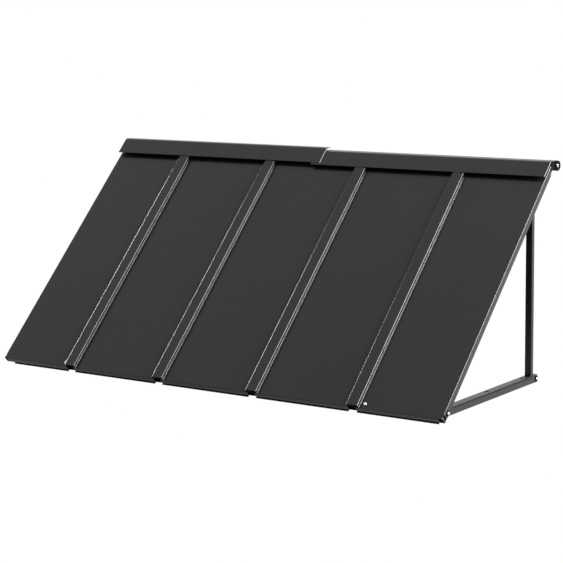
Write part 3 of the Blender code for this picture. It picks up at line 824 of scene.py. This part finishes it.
camera = {
    "place": (3.989, -6.0505, 0.636),
    "azimuth": math.radians(35.02),
    "elevation": math.radians(8.99),
    "roll": math.radians(-0.66),
    "lens": 116.7,
    "sensor": 36.0,
    "clip": (0.1, 200),
}


def addCamera():
    data = bpy.data.cameras.new("camera")
    data.sensor_width = camera["sensor"]
    data.lens = camera["lens"]
    data.clip_start, data.clip_end = camera["clip"]
    obj = bpy.data.objects.new("camera", data)
    bpy.context.scene.collection.objects.link(obj)
    turn = (Matrix.Rotation(camera["azimuth"], 4, "Z")
            @ Matrix.Rotation(math.pi / 2 - camera["elevation"], 4, "X")
            @ Matrix.Rotation(camera["roll"], 4, "Z"))
    obj.matrix_world = Matrix.Translation(camera["place"]) @ turn
    bpy.context.scene.camera = obj


# Each lamp's long side lies as near as it can to the given direction
lamps = {
    "backRight": {"place": (3.6, 4.4, -0.6), "long": 3.0, "wide": 3.0, "lies": (0, 0, 1), "watts": 10},
    "overRight": {"place": (4.71, 0.47, 2.30), "long": 3.6, "wide": 3.6, "lies": (0, 1, 1), "watts": 1900},
    "overLeft": {"place": (-5.0, 0.79, 1.04), "long": 1.8, "wide": 0.6, "lies": (0, 1, 1), "watts": 85},
}


def addLamps():
    aim = (cadLow + cadHigh) / 2
    for name, lamp in lamps.items():
        data = bpy.data.lights.new(name, "AREA")
        data.shape = "RECTANGLE"
        data.size = lamp["wide"]
        data.size_y = lamp["long"]
        data.energy = lamp["watts"]
        obj = bpy.data.objects.new(name, data)
        bpy.context.scene.collection.objects.link(obj)
        away = (Vector(lamp["place"]) - aim).normalized()
        side = Vector(lamp["lies"]).cross(away).normalized()
        turn = Matrix((side, away.cross(side), away)).transposed().to_4x4()
        obj.matrix_world = Matrix.Translation(lamp["place"]) @ turn
        obj.visible_camera = False


room = {
    "seen": 1.0,                       # white, as the camera and the gloss see it
    "fill": 0.45,                      # what the world gives to the matt part of the light
    "floorBelow": 2.1,                 # the canopy hangs this far over the ground
    "floorRadius": 40,
    "floorSides": 96,
    "floorMiddle": (0, -0.4),
    "floorColour": 0.20,
    "floorRough": 0.9,
    "paleTo": 2.2,                     # the floor is pale out to here, and white from the next value on
    "whiteFrom": 4.2,
}


def whiteWhere(tree):
    # 1 for rays from the camera, off gloss and through glass
    path = tree.nodes.new("ShaderNodeLightPath")
    either = path.outputs["Is Camera Ray"]
    for ray in ("Is Glossy Ray", "Is Transmission Ray"):
        larger = tree.nodes.new("ShaderNodeMath")
        larger.operation = "MAXIMUM"
        tree.links.new(either, larger.inputs[0])
        tree.links.new(path.outputs[ray], larger.inputs[1])
        either = larger.outputs[0]
    return either


def addWorld():
    world = bpy.data.worlds.new("studio")
    bpy.context.scene.world = world
    world.use_nodes = True
    tree = world.node_tree
    tree.nodes.clear()
    mix = tree.nodes.new("ShaderNodeMixShader")
    for strength, place in ((room["fill"], 1), (room["seen"], 2)):
        light = tree.nodes.new("ShaderNodeBackground")
        light.inputs["Color"].default_value = (1, 1, 1, 1)
        light.inputs["Strength"].default_value = strength
        tree.links.new(light.outputs[0], mix.inputs[place])
    tree.links.new(whiteWhere(tree), mix.inputs["Fac"])
    out = tree.nodes.new("ShaderNodeOutputWorld")
    tree.links.new(mix.outputs[0], out.inputs["Surface"])


def addFloor():
    putDown()
    bpy.ops.mesh.primitive_circle_add(vertices=room["floorSides"], radius=room["floorRadius"],
                                      fill_type="NGON",
                                      location=(*room["floorMiddle"], cadLow.z - room["floorBelow"]))
    floor = bpy.context.object
    floor.name = "floor"
    material, tree, shader = newMaterial("paleFloor", room["floorColour"], room["floorRough"])
    place = tree.nodes.new("ShaderNodeTexCoord")
    reach = tree.nodes.new("ShaderNodeVectorMath")
    reach.operation = "LENGTH"
    fade = tree.nodes.new("ShaderNodeMapRange")
    fade.interpolation_type = "SMOOTHSTEP"
    fade.inputs["From Min"].default_value = room["paleTo"]
    fade.inputs["From Max"].default_value = room["whiteFrom"]
    both = tree.nodes.new("ShaderNodeMath")
    both.operation = "MULTIPLY"
    white = tree.nodes.new("ShaderNodeEmission")
    white.inputs["Strength"].default_value = room["seen"]
    mix = tree.nodes.new("ShaderNodeMixShader")
    tree.links.new(place.outputs["Object"], reach.inputs[0])
    tree.links.new(reach.outputs["Value"], fade.inputs["Value"])
    tree.links.new(fade.outputs["Result"], both.inputs[0])
    tree.links.new(whiteWhere(tree), both.inputs[1])
    tree.links.new(both.outputs[0], mix.inputs["Fac"])
    tree.links.new(shader.outputs[0], mix.inputs[1])
    tree.links.new(white.outputs[0], mix.inputs[2])
    tree.links.new(mix.outputs[0], tree.nodes["Material Output"].inputs["Surface"])
    floor.data.materials.append(material)


# Finishes

# Each coat's own grey, its roughness and the level of its gloss
coats = {
    "roofCoat": (0.006, 0.24, 0.29),
    "capCoat": (0.006, 0.28, 0.28),
    "frameCoat": (0.006, 0.34, 0.22),
    "railCoat": (0.004, 0.45, 0.16),
    "blackPlastic": (0.002, 0.55, 0.02),
}
# What varies on every coat: the scale and detail of its noise, and how much it changes
grain = {
    "noiseRange": (0.3, 0.7),          # nearly all of a noise lies between these
    "mottle": (5.0, 3.0, 0.08),        # a share of the grey
    "haze": (60.0, 2.0, 0.03),         # roughness
    "texture": (700.0, 1.0, 0.00001),  # height
}
brightPlate = {
    "grey": 0.75,
    "roughness": 0.25,
    "noise": (300.0, 2.0),
    "greys": (0.68, 0.82),
}


def newMaterial(name, colour, roughness, metallic=0.0, level=0.5):
    material = bpy.data.materials.new(name)
    material.use_nodes = True
    shader = material.node_tree.nodes["Principled BSDF"]
    shader.inputs["Base Color"].default_value = (colour,) * 3 + (1,)
    shader.inputs["Roughness"].default_value = roughness
    shader.inputs["Metallic"].default_value = metallic
    shader.inputs["Specular IOR Level"].default_value = level
    return material, material.node_tree, shader


def noise(tree, scale, detail):
    place = tree.nodes.new("ShaderNodeTexCoord")
    texture = tree.nodes.new("ShaderNodeTexNoise")
    texture.inputs["Scale"].default_value = scale
    texture.inputs["Detail"].default_value = detail
    tree.links.new(place.outputs["Object"], texture.inputs["Vector"])
    return texture.outputs["Fac"]


def spread(tree, value, low, high):
    ranged = tree.nodes.new("ShaderNodeMapRange")
    fromLow, fromHigh = grain["noiseRange"]
    ranged.inputs["From Min"].default_value = fromLow
    ranged.inputs["From Max"].default_value = fromHigh
    ranged.inputs["To Min"].default_value = low
    ranged.inputs["To Max"].default_value = high
    tree.links.new(value, ranged.inputs["Value"])
    return ranged.outputs["Result"]


def greyFrom(tree, value, shader):
    joined = tree.nodes.new("ShaderNodeCombineColor")
    for channel in range(3):
        tree.links.new(value, joined.inputs[channel])
    tree.links.new(joined.outputs["Color"], shader.inputs["Base Color"])


def bumpFrom(tree, value, shader, height):
    node = tree.nodes.new("ShaderNodeBump")
    node.inputs["Distance"].default_value = height
    node.inputs["Strength"].default_value = 1
    tree.links.new(value, node.inputs["Height"])
    tree.links.new(node.outputs["Normal"], shader.inputs["Normal"])


def powderCoat(name):
    colour, roughness, gloss = coats[name]
    material, tree, shader = newMaterial(name, colour, roughness, level=gloss)
    scale, detail, share = grain["mottle"]
    mottle = spread(tree, noise(tree, scale, detail), colour * (1 - share), colour * (1 + share))
    greyFrom(tree, mottle, shader)
    scale, detail, change = grain["haze"]
    haze = spread(tree, noise(tree, scale, detail), roughness - change, roughness + change)
    tree.links.new(haze, shader.inputs["Roughness"])
    scale, detail, height = grain["texture"]
    bumpFrom(tree, noise(tree, scale, detail), shader, height)
    return material


def zincPlate():
    material, tree, shader = newMaterial("zinc", brightPlate["grey"], brightPlate["roughness"], metallic=1)
    greyFrom(tree, spread(tree, noise(tree, *brightPlate["noise"]), *brightPlate["greys"]), shader)
    return material


addCamera()
addLamps()
addWorld()
addFloor()
print("stage ready")
roofCoat = powderCoat("roofCoat")
capCoat = powderCoat("capCoat")
frameCoat = powderCoat("frameCoat")
railCoat = powderCoat("railCoat")
plastic = powderCoat("blackPlastic")
zinc = zincPlate()
print("finishes ready")
for number in range(1, roof["pans"] + 1):
    makePan(number, roofCoat)
print("roof pans done")
covers = bpy.data.collections.new("covers")
for number in range(1, roof["pans"]):
    covers.objects.link(makeCover(number, roofCoat))
    makeBatten(number, railCoat)
# The low lamp at the left is for the seam covers alone
bpy.data.objects["overLeft"].light_linking.receiver_collection = covers
print("seams done")
makeWallRail(railCoat)
makeFrontRail(railCoat)
print("rails done")
for side, sign in (("left", -1), ("right", 1)):
    end = side.capitalize()
    makeCap(side, capCoat)
    makeEndCap(side, sign, plastic)
    makePlug(side, sign, plastic)
    makeArm(side, frameCoat)
    makePost(side, frameCoat)
    makeRafter(side, frameCoat)
    makeGusset(side, frameCoat)
    makeBracket(side, frameCoat)
    makeBolt("railBolt" + end, "rail_bolt_" + side, sign, zinc, rail["boltHead"], rail["boltSocket"])
    makeBolt("flangeBolt" + end, "flange_bolt_" + side, sign, zinc)
    makeBolt("armBolt" + end, "arm_bolt_" + side, sign, zinc)
    makeBolt("gussetBoltArm" + end, "gusset_bolt_arm_" + side, -sign, zinc)
    makeBolt("gussetBoltRafter" + end, "gusset_bolt_rafter_" + side, -sign, zinc)
    makeScrew(side, zinc)
    makeWasher("armWasher" + end, "arm_washer_" + side, plastic)
    makeWasher("flangeWasher" + end, "flange_washer_" + side, plastic)
    makeNut(side, zinc)
    print(side, "side done")

scene = bpy.context.scene
scene.view_settings.view_transform = "Standard"
